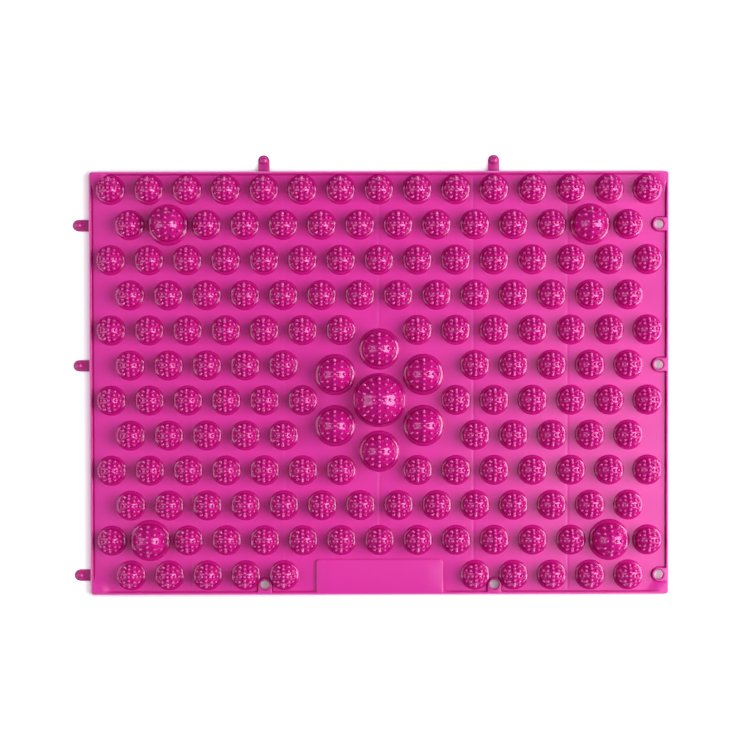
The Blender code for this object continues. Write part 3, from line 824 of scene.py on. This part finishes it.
def underside_tool(plate, heads, target):
    """Make the hollows under the skin and the pad, and the pockets and sockets of the lugs."""
    x = HALF_LENGTH - plate.rim_width
    y = HALF_WIDTH - plate.rim_width
    half = plate.rib_width / 2
    walls = [-x - half] + rib_places(plate) + [x + half]
    mesh = bmesh.new()
    for left, right in zip(walls, walls[1:]):
        path = rectangle(left + half, right - half, -y, y, CELL_CORNER, HIDDEN_STEP)
        prism(mesh, path, [(0.0, SKIN_UNDERSIDE), (0.0, CELL_END)])

    side = plate.pad_length / 2 - plate.pad_wall
    back = plate.pad_depth - plate.pad_wall - HALF_WIDTH
    path = rectangle(-side, side, PAD_INSET - y, back, PAD_HOLLOW_CORNER, HIDDEN_STEP)
    prism(mesh, path, [(0.0, PAD_CEILING), (0.0, PAD_END)])

    right, front = lug_places(plate, heads)
    half = plate.pocket_width / 2
    reach = plate.socket_inset + CUT_MARGIN
    for middle, along in right + front:
        inward = (-along[1], along[0])
        sideways = (-along[0], -along[1])
        base = Vector(middle) - reach * Vector(inward)
        corners = bay(base, sideways, inward, half, reach + half, half, POCKET_MOUTH_CORNER)
        prism(mesh, rounded(corners, HIDDEN_STEP), [(0.0, POCKET_CEILING), (0.0, POCKET_END)])

    radius, wide = plate.socket_radius, plate.socket_radius + plate.lead_width
    above = RIM_TOP + CUT_MARGIN
    profile = [(0.0, above), (wide + SOCKET_EDGE, above), (wide, RIM_TOP - SOCKET_EDGE)]
    profile += [(radius, RIM_TOP - plate.lead_depth), (radius, SOCKET_END), (0.0, SOCKET_END)]
    for middle, _ in right + front:
        turned(mesh, profile, SNAP_SIDES, middle)
    return tooled("hollows", mesh, "DIFFERENCE", target)


def tab_tool(plate, heads, target):
    """Make the connector tabs and the domed pegs that stand on them."""
    mesh = bmesh.new()
    half = plate.tab_width / 2
    reach = -PLATE_LOW.x - half - HALF_LENGTH
    wall = [(-TAB_EDGE, TAB_TOP), (-0.3 * TAB_EDGE, TAB_TOP - 0.3 * TAB_EDGE)]
    wall += [(0.0, TAB_TOP - TAB_EDGE), (0.0, TAB_BOTTOM)]
    peg = [
        (plate.peg_radius * math.sin(angle), PEG_TOP - PEG_DOME_RISE * (1 - math.cos(angle)))
        for angle in quarter(PEG_STEPS)
    ]
    peg += [(plate.peg_radius, TAB_TOP - JOIN_DEPTH), (0.0, TAB_TOP - JOIN_DEPTH)]
    for middle, out in tab_places(plate, heads):
        base = Vector(middle) - (reach + JOIN_DEPTH) * Vector(out)
        along = (-out[1], out[0])
        corners = bay(base, along, out, half, reach + JOIN_DEPTH + half, half, TAB_BASE_CORNER)
        prism(mesh, rounded(corners), wall)
        turned(mesh, peg, SNAP_SIDES, middle)
    return tooled("tabs", mesh, "UNION", target)


def head_profile(flange, dome, height, flange_height, collar):
    """Return a head's profile, over the floor: dome, flange, and the plug and collar beneath the skin."""
    foot = SKIN_TOP + flange_height
    rise = SKIN_TOP + height - foot
    profile = [(dome * math.sin(angle), foot + rise * math.cos(angle)) for angle in quarter(DOME_STEPS)]
    span = flange - dome
    profile += [(dome + share * span, SKIN_TOP + part * flange_height) for share, part in FLANGE_SHAPE]
    plug = collar - COLLAR_LIP
    under = SKIN_TOP + SEAT_GAP
    profile += [(flange, under), (plug, under), (plug, COLLAR_TOP), (collar, COLLAR_TOP)]
    profile += [(plug, COLLAR_BOTTOM), (0.0, COLLAR_BOTTOM)]
    return profile, foot, rise


def new_nub(heads):
    """Make one nub: a short peg with a round top."""
    radius, height = heads.nub_radius, heads.nub_height
    mesh = bmesh.new()
    turned(mesh, [(share * radius, level * height) for share, level in NUB_SHAPE], NUB_SIDES)
    return finished(mesh, "nub")


def nubbed_head(name, sizes, sides, rings, heads, material):
    """Make one head about the origin, with its nubs."""
    profile, foot, rise = head_profile(*sizes)
    mesh = bmesh.new()
    turned(mesh, profile, sides)
    head = finished(mesh, name)
    nub = new_nub(heads)
    values = {
        "Dome Radius": sizes[1], "Dome Foot": foot, "Dome Rise": rise, "Material": material,
        "Nub": nub, "Nub Height": heads.nub_height,
    }
    for number, (radius, count) in enumerate(rings, start=1):
        values[f"Ring {number} Radius"] = radius * MM
        values[f"Ring {number} Nubs"] = count
    apply_tree(head, nub_tree(len(rings)), values)
    result = baked(head, name)
    bpy.data.objects.remove(nub, do_unlink=True)
    return result


class FOOTMAT_OT_plate(bpy.types.Operator):
    """Make the moulded plate with its rim, pad, ribs, tabs and lugs"""

    bl_idname = "footmat.plate"
    bl_label = "Plate"

    def execute(self, context):
        plate, heads = context.scene.footmat_plate, context.scene.footmat_heads
        block = plate_block(plate, heads)
        tools = [underside_tool(plate, heads, block), tab_tool(plate, heads, block)]
        whole = baked(block, "plate_whole")
        mesh = bmesh.new()
        mesh.from_mesh(whole.data)
        for item in tools + [whole]:
            bpy.data.objects.remove(item, do_unlink=True)
        # The cuts leave slivers where two edges nearly meet; welding closes them.
        material = satin_plate_material(context.scene.footmat_finish)
        piece = finished(mesh, "plate_moulding", material, weld=SLIVER)
        declared(piece, "plate", PLATE_NODE)
        return {"FINISHED"}


class FOOTMAT_OT_small_heads(bpy.types.Operator):
    """Make the small heads, one piece for each row"""

    bl_idname = "footmat.small_heads"
    bl_label = "Small Heads"

    def execute(self, context):
        plate, heads = context.scene.footmat_plate, context.scene.footmat_heads
        material = glossy_head_material(context.scene.footmat_finish)
        sizes = (
            heads.small_flange, heads.small_dome, heads.small_height,
            heads.small_flange_height, heads.small_collar,
        )
        head = nubbed_head("small_head", sizes, SMALL_SIDES, SMALL_RINGS, heads, material)
        tree = row_tree()
        for row in range(ROW_COUNT):
            mesh = bmesh.new()
            for x, y in row_places(heads, plate, row):
                mesh.verts.new((x, y, 0.0))
            line = finished(mesh, "places")
            apply_tree(line, tree, {"Head": head, "Material": material})
            piece = baked(line, f"small_heads_row_{row + 1}")
            declared(piece, "heads", PLATE_NODE)
        bpy.data.objects.remove(head, do_unlink=True)
        return {"FINISHED"}


class FOOTMAT_OT_large_heads(bpy.types.Operator):
    """Make the centre head, the ring about it and the corner heads"""

    bl_idname = "footmat.large_heads"
    bl_label = "Large Heads"

    def execute(self, context):
        heads = context.scene.footmat_heads
        material = glossy_head_material(context.scene.footmat_finish)
        sizes = (
            heads.large_flange, heads.large_dome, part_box(RING_NODES[0])[1].z - SKIN_TOP,
            heads.large_flange_height, heads.large_collar,
        )
        large = nubbed_head("large_head", sizes, LARGE_SIDES, LARGE_RINGS, heads, material)
        sizes = (
            heads.centre_flange, heads.centre_dome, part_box(CENTRE_NODE)[1].z - SKIN_TOP,
            heads.centre_flange_height, heads.centre_collar,
        )
        centre = nubbed_head("centre", sizes, CENTRE_SIDES, CENTRE_RINGS, heads, material)
        for node, (middle, _) in head_places().items():
            source = centre if node == CENTRE_NODE else large
            data = source.data.copy()
            data.transform(Matrix.Translation((middle.x, middle.y, 0.0)))
            piece = bpy.data.objects.new(node + "_cap", data)
            context.scene.collection.objects.link(piece)
            declared(piece, "heads", node)
        for item in (large, centre):
            bpy.data.objects.remove(item, do_unlink=True)
        return {"FINISHED"}


class FOOTMAT_OT_stage(bpy.types.Operator):
    """Make the floor, the lamps and the camera"""

    bl_idname = "footmat.stage"
    bl_label = "Stage"

    def execute(self, context):
        scene, stage = context.scene, context.scene.footmat_stage
        mesh = bmesh.new()
        bmesh.ops.create_grid(mesh, x_segments=1, y_segments=1, size=FLOOR_HALF)
        floor = finished(mesh, "floor", floor_material())
        floor.location.z = -FLOOR_GAP

        for side, power in ((1, stage.right_lamp), (-1, stage.left_lamp)):
            for name, width, depth, (right_share, left_share), (x, y, z) in LAMPS:
                lamp = bpy.data.lights.new(name, "AREA")
                lamp.shape = "RECTANGLE"
                lamp.size = width
                lamp.size_y = depth
                lamp.energy = power * (right_share if side > 0 else left_share)
                lamp.color = LAMP_COLOUR
                item = bpy.data.objects.new(name, lamp)
                item.location = (side * x, y, z)
                # A lamp leans along the mat only, so that its bars of light lie along the rows.
                item.rotation_euler = Vector((-side * x, 0.0, -z)).to_track_quat("-Z", "Y").to_euler()
                scene.collection.objects.link(item)

        world = bpy.data.worlds.new("studio")
        world.use_nodes = True
        tree = world.node_tree
        shader = tree.nodes["Background"]
        shader.inputs["Color"].default_value = (1.0, 1.0, 1.0, 1.0)
        ray = add_node(tree, "ShaderNodeLightPath").outputs
        # The camera sees white, glossy surfaces mirror a dim ceiling, and the rest gets a faint even light.
        inputs = {"Value": ray["Is Glossy Ray"], "To Min": stage.sky, "To Max": stage.ceiling}
        mirrored = add_node(tree, "ShaderNodeMapRange", inputs).outputs[0]
        inputs = {"Value": ray["Is Camera Ray"], "To Min": mirrored, "To Max": 1.0}
        power = add_node(tree, "ShaderNodeMapRange", inputs).outputs[0]
        tree.links.new(power, shader.inputs["Strength"])
        scene.world = world

        camera = bpy.data.cameras.new("camera")
        camera.lens = stage.lens
        # The camera stands in front of the picture's middle and is shifted back, as in the photograph.
        lean = math.atan((stage.middle_y - stage.camera_y) / stage.camera_height) + stage.tilt
        camera.shift_y = math.tan(lean) * camera.lens / camera.sensor_width
        item = bpy.data.objects.new("camera", camera)
        item.location = (stage.camera_x, stage.camera_y, SKIN_TOP + stage.camera_height)
        item.rotation_euler = (-stage.tilt, 0.0, stage.roll)
        scene.collection.objects.link(item)
        scene.camera = item
        scene.view_settings.view_transform = "Standard"
        return {"FINISHED"}


class FOOTMAT_PT_panel(bpy.types.Panel):
    """List the mat's pieces"""

    bl_label = "Foot Mat"
    bl_idname = "FOOTMAT_PT_panel"
    bl_space_type = "VIEW_3D"
    bl_region_type = "UI"
    bl_category = "Foot Mat"

    def draw(self, context):
        for operator in OPERATORS:
            self.layout.operator(operator.bl_idname)
        for name in SETTINGS:
            group = getattr(context.scene, name)
            for key in group.__annotations__:
                self.layout.prop(group, key)


SETTINGS = {
    "footmat_plate": FootMatPlate,
    "footmat_heads": FootMatHeads,
    "footmat_finish": FootMatFinish,
    "footmat_stage": FootMatStage,
}
OPERATORS = (FOOTMAT_OT_plate, FOOTMAT_OT_small_heads, FOOTMAT_OT_large_heads, FOOTMAT_OT_stage)


def register():
    """Add the settings, the operators and the panel to Blender."""
    for name, group in SETTINGS.items():
        bpy.utils.register_class(group)
        setattr(bpy.types.Scene, name, PointerProperty(type=group))
    for item in OPERATORS + (FOOTMAT_PT_panel,):
        bpy.utils.register_class(item)


def unregister():
    """Take them out again."""
    for item in OPERATORS + (FOOTMAT_PT_panel,):
        bpy.utils.unregister_class(item)
    for name, group in SETTINGS.items():
        delattr(bpy.types.Scene, name)
        bpy.utils.unregister_class(group)


def main():
    """Make the mat."""
    register()
    bpy.ops.footmat.plate()
    bpy.ops.footmat.small_heads()
    bpy.ops.footmat.large_heads()
    bpy.ops.footmat.stage()


if __name__ == "__main__":
    main()
